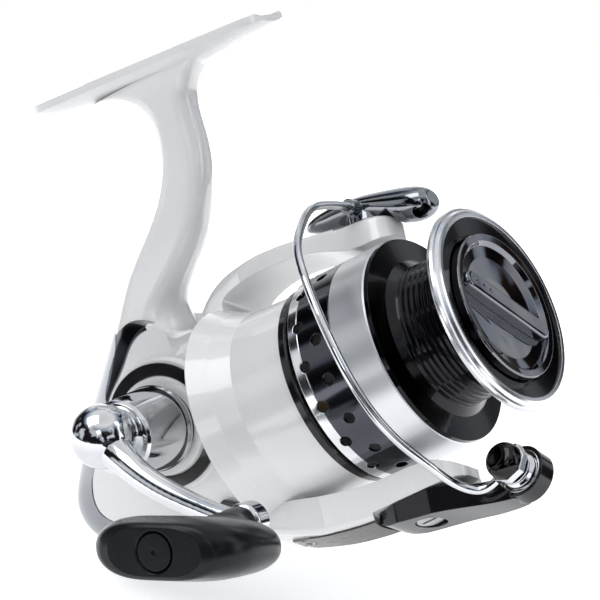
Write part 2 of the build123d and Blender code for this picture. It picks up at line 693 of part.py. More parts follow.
with BuildPart() as rotor:
    add(turned([
        (-48, 27.7), (-43.5, 25.2), (-38.5, 23.3), (-24.6, 22.7), (-24.6, 21.1), (-40.5, 21.1), (-40.5, 7), (-36, 7),
        (-36, 3.5), (-42.5, 3.5), (-42.5, 20.6), (-44, 21.6), (-48, 26.2),
    ]))
    add(rounded_arm(TOP_OUTER, TOP_INNER, 1, -1.8 - BAIL_S, 5.2))
    add(rounded_arm(BOTTOM_OUTER, BOTTOM_INNER, -1, 3.8 - BAIL_S, 4.6))
    # boss for the screw that keeps the rotor nut from turning
    add(rod(side_point(-41, 0, 9.2), side_point(-36, 0, 9.2), 2.3))
    add(rod(side_point(-39.5, 0, 9.2), side_point(-30, 0, 9.2), 0.9), mode=Mode.SUBTRACT)
    # seats for the bail arm and the bail lever
    with BuildSketch(bail_level(TOP_SEAT_U)):
        Circle(8.4)
    extrude(amount=12, mode=Mode.SUBTRACT)
    with BuildSketch(bail_level(-BOTTOM_SEAT_U)):
        Circle(12.2)
        with Locations((12, 0)):
            Rectangle(24, 24.4)
    extrude(amount=-12, mode=Mode.SUBTRACT)
    # pocket for the kick spring and bores for the pivot screws
    with BuildSketch(arm_side(-3.6)):
        with Locations((-31.5, -31.7)):
            Rectangle(12, 8)
    extrude(amount=7.2, mode=Mode.SUBTRACT)
    add(cover_blank.part, mode=Mode.SUBTRACT)
    add(rod(rotor_point(-42.6, -0.6, -26), rotor_point(-42.6, -0.6, -34), 0.9), mode=Mode.SUBTRACT)
    add(rod(rotor_point(BAIL_S, 0, 28.6), rotor_point(BAIL_S, 0, 40), PIVOT_R), mode=Mode.SUBTRACT)
    add(rod(rotor_point(BAIL_S, 0, -30), rotor_point(BAIL_S, 0, -40), PIVOT_R), mode=Mode.SUBTRACT)
rotor.part.label = "rotor"

with BuildPart() as rotor_rim:
    add(turned([(-24.6, 21.1), (-24.6, 23.4), (-23.0, 23.4), (-22.6, 23.0), (-22.6, 21.1)]))
rotor_rim.part.label = "rotor_rim"

with BuildPart() as pinion_gear:
    add(turned([
        (-61, SHAFT_R + RUNNING_GAP), (-61, 2.35), (-53.2, 2.35), (-53.2, 3.5), (-36, 3.5), (-36, 3.2), (-31.8, 3.2),
        (-31.8, SHAFT_R + RUNNING_GAP),
    ]))
    with BuildSketch(across(-61)):
        with PolarLocations(2.5, PINION_TEETH):
            Rectangle(0.5, 0.8)
    extrude(amount=7.8)
pinion_gear.part.label = "pinion_gear"

with BuildPart() as rotor_nut:
    with BuildSketch(across(-36)):
        RegularPolygon(5.6, 6)
        Circle(3.2, mode=Mode.SUBTRACT)
    extrude(amount=3.2)
rotor_nut.part.label = "rotor_nut"

with BuildPart() as nut_plate:
    with BuildSketch(across(-36)):
        Circle(6.9)
        with Locations((0, 8.6)):
            RectangleRounded(4.4, 6.0, 1.8)
        RegularPolygon(5.7, 6, mode=Mode.SUBTRACT)
        with Locations((0, 9.2)):
            Circle(0.9, mode=Mode.SUBTRACT)
    extrude(amount=0.7)
nut_plate.part.label = "nut_plate"

with BuildPart() as nut_plate_screw:
    add(rod(side_point(-39.5, 0, 9.2), side_point(-35.3, 0, 9.2), 0.9))
    with BuildSketch(across(-35.3)):
        with Locations((0, 9.2)):
            Circle(1.6)
    extrude(amount=0.9)
nut_plate_screw.part.label = "nut_plate_screw"

with BuildPart() as arm_cover:
    add(cover_blank.part)
    add(rod(rotor_point(-42.6, -0.6, -26), rotor_point(-42.6, -0.6, -34), 0.9), mode=Mode.SUBTRACT)
    add(rod(rotor_point(-42.6, -0.6, -30.9), rotor_point(-42.6, -0.6, -34), 1.7), mode=Mode.SUBTRACT)
arm_cover.part.label = "arm_cover"

with BuildPart() as arm_cover_screw:
    add(rod(rotor_point(-42.6, -0.6, -26.2), rotor_point(-42.6, -0.6, -31.0), 0.9))
    add(rod(rotor_point(-42.6, -0.6, -30.9), rotor_point(-42.6, -0.6, -32.0), 1.6))
    with BuildSketch(Plane(origin=rotor_point(-42.6, -0.6, -31.6), x_dir=FORWARD, z_dir=-OUT_ARM)):
        Rectangle(2.2, 0.5)
        Rectangle(0.5, 2.2)
    extrude(amount=0.6, mode=Mode.SUBTRACT)
arm_cover_screw.part.label = "arm_cover_screw"

with BuildPart() as bail_spring:
    with BuildLine() as coil:
        Helix(pitch=1.5, height=6.0, radius=1.25, center=rotor_point(-36.6, 0, -29.4), direction=(1, 0, 0))
    with BuildSketch(Plane(origin=coil.line @ 0, z_dir=coil.line % 0)):
        Circle(0.3)
    sweep(path=coil.line, is_frenet=True)
bail_spring.part.label = "bail_spring"

with BuildPart() as kick_lever:
    add(rod(rotor_point(-30.0, 0, -29.4), rotor_point(-25.9, 0, -29.4), 0.9))
    add(rod(rotor_point(-30.0, 0, -29.4), rotor_point(-29.3, 0, -29.4), 1.6))
kick_lever.part.label = "kick_lever"

with BuildPart() as bail_pivot_screws:
    add(rod(rotor_point(BAIL_S, 0, 28.6), rotor_point(BAIL_S, 0, 36.0), PIVOT_R))
    add(rod(rotor_point(BAIL_S, 0, 36.0), rotor_point(BAIL_S, 0, 37.4), 3.0))
    add(rod(rotor_point(BAIL_S, 0, -30.0), rotor_point(BAIL_S, 0, -38.0), PIVOT_R))
    add(rod(rotor_point(BAIL_S, 0, -38.0), rotor_point(BAIL_S, 0, -39.5), 3.2))
    with BuildSketch(bail_level(-39.5)):
        Rectangle(4.6, 0.8)
    extrude(amount=1.0, mode=Mode.SUBTRACT)
bail_pivot_screws.part.label = "bail_pivot_screws"

# --- bail: arm, lever, wire and line roller -------------------------------------------------------
ROLLER_DIRECTION = OUT_SIDE * 0.980 + OUT_ARM * 0.199
ROLLER_SEAT = rotor_point(16.7, 1.5, -38.9)
WIRE_R = 1.0


def roller_point(along):
    """A point of the line roller's axis, measured from its seat towards the wire."""
    return ROLLER_SEAT + ROLLER_DIRECTION * along


def wire_point(s, radius, angle):
    """A point of the wire: forward, from the shaft, and round from the upper arm."""
    return rotor_point(s, radius * sin(radians(angle)), radius * cos(radians(angle)))


WIRE_STATIONS = [
    rotor_point(-9.5, 3.6, 36.2),
    rotor_point(-9.5, 8.0, 35.8),
    rotor_point(-9.5, 14.0, 34.5),
    rotor_point(-9.2, 22.5, 31.2),
    wire_point(-8.0, 38.5, 50),
    wire_point(-6.4, 39.2, 65),
    wire_point(-4.0, 39.7, 78),
    wire_point(-2.0, 40, 90),
    wire_point(-0.6, 40, 103),
    wire_point(0.3, 40, 116),
    wire_point(1.1, 40, 128),
    wire_point(2.4, 40, 141),
    wire_point(4.2, 40, 155),
    rotor_point(6.2, 9.2, -39.9),
    rotor_point(8.7, 6.9, -41.0),
    rotor_point(11.5, 6.2, -40.7),
    rotor_point(14.2, 6.2, -39.4),
]


def swept_wire(radius):
    """The bail wire, drawn at a radius."""
    with BuildPart() as run:
        with BuildLine() as path:
            Spline(*WIRE_STATIONS)
        with BuildSketch(Plane(origin=path.line @ 0, z_dir=path.line % 0)):
            Circle(radius)
        sweep(path=path.line)
    return run.part


CONE_START = 3.5
CONE_END = 6.0
with BuildPart() as roller_cone:
    with BuildSketch(Plane(origin=roller_point(CONE_START), x_dir=FORWARD, z_dir=ROLLER_DIRECTION)):
        RegularPolygon(3.9, 8)
    with BuildSketch(Plane(origin=roller_point(CONE_START + 1.0), x_dir=FORWARD, z_dir=ROLLER_DIRECTION)):
        RegularPolygon(4.8, 8)
    with BuildSketch(Plane(origin=roller_point(CONE_END), x_dir=FORWARD, z_dir=ROLLER_DIRECTION)):
        RegularPolygon(4.6, 8)
    loft(ruled=True)
    add(rod(roller_point(3), roller_point(5.4), 1.2), mode=Mode.SUBTRACT)
    add(swept_wire(WIRE_R), mode=Mode.SUBTRACT)
roller_cone.part.label = "roller_cone"

cone_axis = Axis(ROLLER_SEAT, ROLLER_DIRECTION)
cone_plane = Plane(origin=ROLLER_SEAT, x_dir=ROLLER_DIRECTION, z_dir=FORWARD)
with BuildPart() as cone_tip:
    with BuildSketch(cone_plane):
        with BuildLine():
            Line((CONE_END, 0), (CONE_END, 4.2))
            Spline(
                (CONE_END, 4.2), (CONE_END + 2.5, 3.5), (CONE_END + 3.2, 0),
                tangents=((1, 0), (0, -1)),
            )
            Line((CONE_END + 3.2, 0), (CONE_END, 0))
        make_face()
    revolve(axis=cone_axis)
cone_tip.part.label = "cone_tip"

with BuildPart() as bail_wire:
    add(swept_wire(WIRE_R))
bail_wire.part.label = "bail_wire"

with BuildPart() as roller_seat:
    add(ring(roller_point(0), roller_point(0.8), 1.2, 5.0))
roller_seat.part.label = "roller_seat"

with BuildPart() as roller_bush:
    add(ring(roller_point(0.8), roller_point(CONE_START), 1.2, 2.2))
roller_bush.part.label = "roller_bush"

with BuildPart() as line_roller:
    with BuildSketch(cone_plane):
        with BuildLine():
            Polyline(
                (1.1, 2.26), (1.1, 4.1), (1.3, 4.1), (1.8, 3.4), (2.5, 3.4), (3.0, 4.1), (3.2, 4.1), (3.2, 2.26),
                close=True,
            )
        make_face()
    revolve(axis=cone_axis)
line_roller.part.label = "line_roller"

with BuildPart() as roller_screw:
    add(rod(roller_point(-2.4), roller_point(5.4), 1.2))
    add(rod(roller_point(-3.6), roller_point(-2.4), 2.4))
    with BuildSketch(Plane(origin=roller_point(-3.6), x_dir=FORWARD, z_dir=ROLLER_DIRECTION)):
        Rectangle(3.6, 0.6)
    extrude(amount=0.6, mode=Mode.SUBTRACT)
roller_screw.part.label = "roller_screw"

BAIL_ARM_OUTER = [(-20.9, -36.0), (-19.2, -37.8), (-15, -39.2), (-10, -40.0), (-4, -40.9), (3, -42.3), (8, -43.4),
                  (14.5, -44.4)]
BAIL_ARM_INNER = [(14.5, -38.6), (9, -38.4), (4.5, -37.4), (0.5, -36.0), (-4, -34.8)]
with BuildPart() as bail_arm:
    with BuildSketch(arm_side(-5.8)):
        with BuildLine():
            Spline(*BAIL_ARM_OUTER)
            Line(BAIL_ARM_OUTER[-1], BAIL_ARM_INNER[0])
            Spline(*BAIL_ARM_INNER)
            Line(BAIL_ARM_INNER[-1], (-20.9, -34.8))
            Line((-20.9, -34.8), BAIL_ARM_OUTER[0])
        make_face()
    extrude(amount=11.6)
    with BuildSketch(bail_level(-30)) as arm_plan:
        with BuildLine():
            Polyline(
                (25, 3.0), (14, 5.3), (4, 5.8), (-5, 5.8), (-11.4, 3.6), (-11.4, -3.6), (-5, -5.8),
                (4, -5.8), (14, -4.4), (25, -3.0), close=True,
            )
        make_face()
        fillet(arm_plan.vertices(), 2.6)
    extrude(amount=-20, mode=Mode.INTERSECT)
    # bowl that carries the roller
    add(rod(roller_point(-3.4), roller_point(0), 5.9))
    add(ring(roller_point(-1), roller_point(0.8), 5.0, 5.9))
    add(rod(roller_point(0), roller_point(14.4), 5.05), mode=Mode.SUBTRACT)
    add(rod(roller_point(-3), roller_point(2), 1.2), mode=Mode.SUBTRACT)
    add(rod(roller_point(-6), roller_point(-2.4), 2.4), mode=Mode.SUBTRACT)
    add(swept_wire(WIRE_R + 0.15), mode=Mode.SUBTRACT)
    # pivot bore and the recess of the pivot screw's head
    add(rod(rotor_point(BAIL_S, 0, -30), rotor_point(BAIL_S, 0, -42), PIVOT_R + PIVOT_CLEARANCE), mode=Mode.SUBTRACT)
    add(rod(rotor_point(BAIL_S, 0, -37.9), rotor_point(BAIL_S, 0, -44), 3.6), mode=Mode.SUBTRACT)
bail_arm.part.label = "bail_arm"

# distance forward, lower and upper edge, half width
LEVER_SECTIONS = [
    (-25.6, 38.3, 39.9, 1.0),
    (-22.5, 37.0, 40.9, 2.7),
    (-16.0, 35.6, 41.1, 3.9),
    (-9.5, 34.0, 40.3, 4.6),
    (-3.0, 31.1, 38.9, 4.7),
    (2.5, 28.9, 37.4, 4.6),
    (6.4, 28.9, 35.8, 4.0),
    (8.4, 30.7, 33.9, 2.2),
]
with BuildPart() as bail_lever:
    for s, low, high, half in LEVER_SECTIONS:
        at = Plane(origin=rotor_point(s, 0, (low + high) / 2), x_dir=OUT_SIDE, z_dir=FORWARD)
        with BuildSketch(at):
            Ellipse(half, (high - low) / 2)
    loft()
    add(rod(rotor_point(BAIL_S, 0, 20), rotor_point(BAIL_S, 0, TOP_SEAT_U + 0.3), 9.0), mode=Mode.SUBTRACT)
    add(rod(rotor_point(BAIL_S, 0, TOP_SEAT_U + 0.3), rotor_point(BAIL_S, 0, 36), 4.6))
    add(rod(rotor_point(BAIL_S, 3, 36.3), rotor_point(BAIL_S, 7.4, 35.9), 1.9))
    add(rod(rotor_point(BAIL_S, 0, 30), rotor_point(BAIL_S, 0, 44), PIVOT_R + PIVOT_CLEARANCE), mode=Mode.SUBTRACT)
    add(rod(rotor_point(BAIL_S, 0, 35.9), rotor_point(BAIL_S, 0, 44), 3.3), mode=Mode.SUBTRACT)
    add(swept_wire(WIRE_R), mode=Mode.SUBTRACT)
bail_lever.part.label = "bail_lever"

for piece in (rotor, rotor_rim, pinion_gear, rotor_nut, nut_plate, nut_plate_screw, arm_cover, arm_cover_screw,
              bail_spring, kick_lever, bail_pivot_screws, roller_cone, cone_tip, bail_wire, roller_seat,
              roller_bush, line_roller, roller_screw, bail_arm, bail_lever):
    export_step(piece.part, "parts/" + piece.part.label + ".step")

# --- main shaft ------------------------------------------------------------------------------
SLIDER_REAR = -79.0
SLIDER_FRONT = -72.0
with BuildPart() as main_shaft:
    add(rod(side_point(SLIDER_REAR, 0, 0), side_point(17.4, 0, 0), SHAFT_R))
main_shaft.part.label = "main_shaft"

with BuildPart() as slider_block:
    with BuildSketch(across(SLIDER_REAR)):
        with Locations((-1.1, -0.5)):
            RectangleRounded(7.8, 8.0, 0.8)
        Circle(SHAFT_R, mode=Mode.SUBTRACT)
        with Locations((GUIDE_Y, GUIDE_Z)):
            Circle(GUIDE_R + RUNNING_GAP, mode=Mode.SUBTRACT)
    extrude(amount=SLIDER_FRONT - SLIDER_REAR)
    # slot in which the crank pin runs
    with BuildSketch(side(2.8)):
        with Locations((-75.5, 0)):
            Rectangle(1.8, 12)
    extrude(amount=0.6, mode=Mode.SUBTRACT)
    add(rod(side_point(-75.5, -0.4, -2.0), side_point(-75.5, -0.4, -6), 0.9), mode=Mode.SUBTRACT)
slider_block.part.label = "slider_block"

with BuildPart() as slider_screw:
    add(rod(side_point(-75.5, -0.4, -2.0), side_point(-75.5, -0.4, -4.5), 0.9))
    add(rod(side_point(-75.5, -0.4, -4.5), side_point(-75.5, -0.4, -5.5), 1.7))
    add(main_shaft.part, mode=Mode.SUBTRACT)
slider_screw.part.label = "slider_screw"

CLICK_TEETH = 24
with BuildPart() as click_gear:
    add(toothed(across(-9.5), CLICK_TEETH, 6.2, 7.0, 0.9, 1.8))
    with BuildSketch(across(-9.5)):
        Circle(SHAFT_R)
    extrude(amount=1.8, mode=Mode.SUBTRACT)
click_gear.part.label = "click_gear"

with BuildPart() as spool_washer:
    add(ring(side_point(-7.7, 0, 0), side_point(-6.4, 0, 0), SHAFT_R, 4.6))
spool_washer.part.label = "spool_washer"

# --- spool -----------------------------------------------------------------------------------
GROOVE_START = 4.0
GROOVE_PITCH = 1.42
GROOVES = 9
GROOVE_DEPTH = 0.35
CHAMBER_R = 12.0
WELL_R = 17.6
LIP_INNER_R = 21.5
HOLE_ROWS = [(-18.2, 10.9), (-13.8, 22.15)]
with BuildPart() as spool:
    add(turned([
        (-21, SKIRT_BORE), (-21, SKIRT_R), (-18.65, SKIRT_R), (-18.55, SKIRT_R - 0.12), (-18.45, SKIRT_R),
        (-9.6, SKIRT_R), (-9.5, SKIRT_R - 0.12), (-9.4, SKIRT_R), (0, SKIRT_R), (0.1, SKIRT_R - 0.25), (1.3, 24.1),
        (2.0, 18.7), (3.5, 17.05), (4.0, 16.9), (16.6, 15.9), (17.1, 17.0), (17.5, LIP_INNER_R), (19.5, LIP_INNER_R),
        (18.8, WELL_R), (18.0, WELL_R), (18.0, CHAMBER_R), (5, CHAMBER_R), (5, SHAFT_R + RUNNING_GAP),
        (-6, SHAFT_R + RUNNING_GAP), (-6, 5), (-1.2, 5), (-1.2, SKIRT_BORE),
    ]))
    for index in range(GROOVES):
        s = GROOVE_START + GROOVE_PITCH * (index + 0.5)
        top = 16.9 - (s - 4.0) / 12.6
        add(turned([(s - 0.45, top + 0.1), (s, top - GROOVE_DEPTH), (s + 0.45, top + 0.1)]), mode=Mode.SUBTRACT)
    for s, first in HOLE_ROWS:
        for index in range(SKIRT_HOLES):
            angle = radians(first + 360 / SKIRT_HOLES * index)
            outward = Vector(0, -sin(angle), cos(angle))
            add(rod(side_point(s, 0, 0) + outward * 22.5, side_point(s, 0, 0) + outward * 26, 1.4), mode=Mode.SUBTRACT)
spool.part.label = "spool"

with BuildPart() as spool_lip:
    add(turned([
        (17.5, LIP_INNER_R), (16.9, 22.3), (17.0, 23.3), (17.6, 24.0), (18.4, 24.2), (19.0, 23.9), (19.3, 23.3),
        (19.9, 22.9), (20.2, 22.3), (20.1, LIP_INNER_R),
    ]))
spool_lip.part.label = "spool_lip"

WASHERS = 6
with BuildPart() as drag_washers:
    for index in range(WASHERS):
        start = 5.1 + 0.75 * index
        add(ring(side_point(start, 0, 0), side_point(start + 0.65, 0, 0), 2.3, 11.5))
drag_washers.part.label = "drag_washers"

with BuildPart() as drag_clip:
    with BuildSketch(across(10.2)):
        Circle(CHAMBER_R)
        Circle(CHAMBER_R - 0.8, mode=Mode.SUBTRACT)
        with Locations((0, -CHAMBER_R)):
            Rectangle(5, 4, mode=Mode.SUBTRACT)
    extrude(amount=0.7)
drag_clip.part.label = "drag_clip"

CLIP_ANGLE = 215.0
with BuildPart() as line_clip:
    clip_out = Vector(0, -sin(radians(CLIP_ANGLE)), cos(radians(CLIP_ANGLE)))
    with BuildSketch(Plane(origin=side_point(-5.5, 0, 0) + clip_out * 23.9, x_dir=FORWARD, z_dir=clip_out)):
        SlotOverall(6.0, 2.6)
    extrude(amount=1.45)
    add(turned([(-20, 10), (-20, SKIRT_R), (10, SKIRT_R), (10, 10)]), mode=Mode.SUBTRACT)
line_clip.part.label = "line_clip"

with BuildPart() as click_pawl:
    add(rod(side_point(-9.2, 0, 11.0), side_point(-1.2, 0, 11.0), 1.1))
    with BuildSketch(across(-9.2)):
        with Locations((0, 9.6)):
            Rectangle(1.6, 4.4)
    extrude(amount=1.0)
click_pawl.part.label = "click_pawl"

# --- drag knob -------------------------------------------------------------------------------
GRIP_TURN = -35.8
with BuildPart() as drag_knob:
    add(turned([
        (18.3, 2.5), (18.3, 6.0), (18.3, 16.6), (18.3, 17.2), (20.7, 17.2), (21.1, 16.9), (20.9, 15.4), (19.9, 14.6),
        (19.3, 12), (19.0, 7), (19.0, 0), (18.3, 0),
    ]))
    add(ring(side_point(12.8, 0, 0), side_point(18.3, 0, 0), 2.3, 6.0))
    with BuildSketch(across(12.8)):
        RegularPolygon(4.1, 6)
    extrude(amount=3.8, mode=Mode.SUBTRACT)
drag_knob.part.label = "drag_knob"

with BuildPart() as drag_knob_nut:
    with BuildSketch(across(13.0)):
        RegularPolygon(4.0, 6)
        Circle(SHAFT_R + RUNNING_GAP, mode=Mode.SUBTRACT)
    extrude(amount=3.4)
drag_knob_nut.part.label = "drag_knob_nut"

with BuildPart() as drag_knob_grip:
    grip_plane = Plane(origin=side_point(18.9, 0, 0), x_dir=(0, cos(radians(GRIP_TURN)), sin(radians(GRIP_TURN))),
                       z_dir=FORWARD)
    with BuildSketch(grip_plane):
        SlotOverall(29.6, 4.4)
    extrude(amount=2.9)
    fillet(drag_knob_grip.faces().sort_by(Axis.X)[-1].edges(), 0.8)
    add(drag_knob.part, mode=Mode.SUBTRACT)
    with BuildSketch(grip_plane.offset(2.6)):
        with Locations((-11.6, 0), (-9.2, 0), (-6.8, 0)):
            Circle(0.55)
    extrude(amount=1.0, mode=Mode.SUBTRACT)
drag_knob_grip.part.label = "drag_knob_grip"

with BuildPart() as drag_spring:
    with BuildLine() as drag_coil:
        Helix(pitch=0.95, height=1.9, radius=3.2, center=side_point(10.3, 0, 0), direction=(1, 0, 0))
    with BuildSketch(Plane(origin=drag_coil.line @ 0, z_dir=drag_coil.line % 0)):
        Circle(0.3)
    sweep(path=drag_coil.line, is_frenet=True)
drag_spring.part.label = "drag_spring"

for piece in (main_shaft, slider_block, slider_screw, click_gear, spool_washer, spool, spool_lip, drag_washers,
              drag_clip, line_clip, click_pawl, drag_knob, drag_knob_nut, drag_knob_grip, drag_spring):
    export_step(piece.part, "parts/" + piece.part.label + ".step")
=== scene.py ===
import math

import bpy
from mathutils import Matrix, Vector


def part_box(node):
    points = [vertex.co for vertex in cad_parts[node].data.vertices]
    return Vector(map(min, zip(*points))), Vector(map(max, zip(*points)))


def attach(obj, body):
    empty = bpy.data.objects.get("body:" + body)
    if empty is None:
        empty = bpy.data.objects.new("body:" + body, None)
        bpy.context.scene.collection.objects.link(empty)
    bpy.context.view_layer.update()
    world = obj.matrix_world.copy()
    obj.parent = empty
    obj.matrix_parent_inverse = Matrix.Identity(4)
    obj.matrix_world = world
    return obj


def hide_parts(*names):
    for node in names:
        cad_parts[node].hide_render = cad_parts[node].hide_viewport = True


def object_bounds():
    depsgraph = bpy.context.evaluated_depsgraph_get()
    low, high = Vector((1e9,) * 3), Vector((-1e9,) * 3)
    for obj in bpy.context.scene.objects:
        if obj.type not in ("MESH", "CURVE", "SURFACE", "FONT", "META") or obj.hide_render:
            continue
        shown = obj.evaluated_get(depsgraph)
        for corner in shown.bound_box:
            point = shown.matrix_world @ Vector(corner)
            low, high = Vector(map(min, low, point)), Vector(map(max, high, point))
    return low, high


# A spinning reel in its studio: a finish for each CAD node, a moulded grip, camera, floor, lights and world.
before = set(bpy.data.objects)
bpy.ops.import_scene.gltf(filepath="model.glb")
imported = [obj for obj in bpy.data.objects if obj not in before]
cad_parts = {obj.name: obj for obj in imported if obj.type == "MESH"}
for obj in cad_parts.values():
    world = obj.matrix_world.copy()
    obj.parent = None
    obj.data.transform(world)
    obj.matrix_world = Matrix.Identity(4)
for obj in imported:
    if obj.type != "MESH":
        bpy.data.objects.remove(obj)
cad_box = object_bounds()

MM = 0.001
SHAFT_Z = -0.0845  # height of the shaft's axis
SKIRT_X = 0.037  # the front edge of the spool's skirt, along the shaft
EDGE_RADIUS = 0.0003  # how round the shading makes a sharp edge
EDGE_SAMPLES = 6


def shown(obj):
    """Put an object into the scene."""
    bpy.context.scene.collection.objects.link(obj)
    return obj


# --- node helpers ----------------------------------------------------------------------------
class Nodes:
    """A node tree under construction, with the coordinates that its patterns follow."""

    def __init__(self, tree, coordinates):
        self.tree = tree
        self.place = self.node("ShaderNodeTexCoord").outputs[coordinates]

    def node(self, kind, **settings):
        made = self.tree.nodes.new(kind)
        for key, value in settings.items():
            setattr(made, key, value)
        return made

    def link(self, out, into):
        self.tree.links.new(out, into)

    def stretched(self, scale):
        mapping = self.node("ShaderNodeMapping")
        mapping.inputs["Scale"].default_value = scale
        self.link(self.place, mapping.inputs["Vector"])
        return mapping.outputs["Vector"]

    def noise(self, scale, detail=2.0, vector=None, roughness=0.5):
        made = self.node("ShaderNodeTexNoise")
        made.inputs["Scale"].default_value = scale
        made.inputs["Detail"].default_value = detail
        made.inputs["Roughness"].default_value = roughness
        self.link(vector or self.place, made.inputs["Vector"])
        return made.outputs["Fac"]

    def flakes(self, scale):
        made = self.node("ShaderNodeTexVoronoi")
        made.inputs["Scale"].default_value = scale
        self.link(self.place, made.inputs["Vector"])
        return made.outputs["Color"]

    def ranged(self, value, low, high, start=0.0, end=1.0):
        """A value that goes from low to high as the given one goes from start to end."""
        made = self.node("ShaderNodeMapRange")
        for key, number in (("From Min", start), ("From Max", end), ("To Min", low), ("To Max", high)):
            made.inputs[key].default_value = number
        self.link(value, made.inputs["Value"])
        return made.outputs["Result"]

    def ramp(self, value, stops, constant=False):
        """A colour by value, from stops that each hold a place from 0 to 1 and a colour."""
        made = self.node("ShaderNodeValToRGB")
        if constant:
            made.color_ramp.interpolation = "CONSTANT"
        elements = made.color_ramp.elements
        while len(elements) < len(stops):
            elements.new(0.5)
        for element, (place, colour) in zip(elements, stops):
            element.position = place
            element.color = (*colour, 1)
        self.link(value, made.inputs["Fac"])
        return made.outputs["Color"]

    def math(self, operation, a, b=None):
        made = self.node("ShaderNodeMath", operation=operation)
        for index, item in enumerate((a, b)):
            if item is None:
                continue
            if isinstance(item, (int, float)):
                made.inputs[index].default_value = item
            else:
                self.link(item, made.inputs[index])
        return made.outputs["Value"]

    def mixed(self, factor, a, b, blend="MIX"):
        made = self.node("ShaderNodeMix", data_type="RGBA", blend_type=blend)
        for socket, item in (("Factor", factor), ("A", a), ("B", b)):
            spot = [i for i in made.inputs if i.name == socket and i.enabled][0]
            if isinstance(item, tuple):
                spot.default_value = (*item, 1)
            elif isinstance(item, (int, float)):
                spot.default_value = item
            else:
                self.link(item, spot)
        return [o for o in made.outputs if o.enabled][0]

    def distance(self, point):
        """How far the shaded place is from a fixed point."""
        made = self.node("ShaderNodeVectorMath", operation="DISTANCE")
        made.inputs[1].default_value = point
        self.link(self.place, made.inputs[0])
        return made.outputs["Value"]

    def facing(self, direction):
        """The cosine of the angle between the shaded direction and a fixed one."""
        made = self.node("ShaderNodeVectorMath", operation="DOT_PRODUCT")
        made.inputs[1].default_value = direction
        self.link(self.place, made.inputs[0])
        return made.outputs["Value"]


class Finish(Nodes):
    """A material under construction: one Principled shader and the nodes that feed it."""

    def __init__(self, name, base, metallic=0.0, roughness=0.3, coat=0.0, coat_roughness=0.03, specular=0.5,
                 anisotropic=0.0):
        self.material = bpy.data.materials.new(name)
        self.material.use_nodes = True
        super().__init__(self.material.node_tree, "Object")
        self.shader = self.tree.nodes["Principled BSDF"]
        self.set("Base Color", (*base, 1))
        self.set("Metallic", metallic)
        self.set("Roughness", roughness)
        self.set("Coat Weight", coat)
        self.set("Coat Roughness", coat_roughness)
        self.set("Specular IOR Level", specular)
        self.set("Anisotropic", anisotropic)
        edge = self.node("ShaderNodeBevel")
        edge.samples = EDGE_SAMPLES
        edge.inputs["Radius"].default_value = EDGE_RADIUS
        self.normal = edge.outputs["Normal"]
        self.link(self.normal, self.shader.inputs["Normal"])

    def set(self, socket, value):
        self.shader.inputs[socket].default_value = value

    def colour(self, value):
        self.link(value, self.shader.inputs["Base Color"])

    def rough(self, value):
        self.link(value, self.shader.inputs["Roughness"])

    def bump(self, value, distance, strength=1.0):
        """Raise the surface by a pattern, on top of the bumps before it."""
        made = self.node("ShaderNodeBump")
        made.inputs["Distance"].default_value = distance
        made.inputs["Strength"].default_value = strength
        self.link(value, made.inputs["Height"])
        self.link(self.normal, made.inputs["Normal"])
        self.normal = made.outputs["Normal"]
        self.link(self.normal, self.shader.inputs["Normal"])

    def along_and_off_shaft(self):
        """The forward place of a point and its distance from the shaft."""
        split = self.node("ShaderNodeSeparateXYZ")
        self.link(self.place, split.inputs["Vector"])
        height = self.math("SUBTRACT", split.outputs["Z"], SHAFT_Z)
        sideways = self.math("MULTIPLY", split.outputs["Y"], split.outputs["Y"])
        squares = self.math("ADD", sideways, self.math("MULTIPLY", height, height))
        return split.outputs["X"], self.math("SQRT", squares)


# --- finishes ----------------------------------------------------------------------------------
def scaled(colour, factor):
    return tuple(min(channel * factor, 1) for channel in colour)


def pearl_paint():
    """White paint with fine flakes under a clear coat."""
    look = Finish("pearl_paint", (0.80, 0.80, 0.795), roughness=0.22, coat=1.0, coat_roughness=0.02)
    tone = look.ramp(look.noise(60, 3), [(0.3, (0.80, 0.795, 0.785)), (0.7, (0.84, 0.835, 0.825))])
    flake = look.flakes(5200)
    sparkle = look.ranged(flake, 0.0, 1.0, 0.1, 0.9)
    look.colour(look.mixed(look.ranged(sparkle, 0.0, 0.55), tone, (0.73, 0.735, 0.745)))
    look.rough(look.ranged(look.noise(900, 2), 0.18, 0.30))
    look.bump(flake, 0.00001, 0.10)
    look.bump(look.noise(350, 2), 0.00002, 0.15)
    return look


def chrome(name, base, roughness=0.05, streak=700, ripple=0.00003):
    """Plated or cast metal with soft waves and finer smears."""
    look = Finish(name, base, metallic=1.0, roughness=roughness)
    look.colour(look.ramp(look.noise(120, 3), [(0.35, scaled(base, 0.9)), (0.65, base)]))
    look.rough(look.ranged(look.noise(streak, 3), roughness * 0.7, roughness * 1.8, 0.3, 0.8))
    look.bump(look.noise(90, 1), ripple, 0.5)
    return look


def lathe_turned(name, base, roughness):
    """Metal turned about the shaft, with faint rings."""
    look = Finish(name, base, metallic=1.0, roughness=roughness, anisotropic=0.4)
    rings = look.noise(1.0, 4, look.stretched((9000, 40, 40)), 0.7)
    look.colour(look.ramp(rings, [(0.3, scaled(base, 0.86)), (0.7, base)]))
    look.rough(look.ranged(rings, roughness * 0.8, roughness * 1.3))
    look.bump(rings, 0.000006, 0.35)
    return look


def moulded(name, base, roughness=0.35, grain=2600, depth=0.00001, coat=0.0, specular=0.5):
    """Moulded plastic or rubber with a fine grain and uneven wear."""
    look = Finish(name, base, roughness=roughness, coat=coat, specular=specular)
    look.colour(look.ramp(look.noise(140, 3), [(0.35, scaled(base, 0.85)), (0.7, scaled(base, 1.25))]))
    look.rough(look.ranged(look.noise(500, 2), roughness * 0.85, roughness * 1.15))
    look.bump(look.noise(grain, 3), depth, 0.6)
    return look


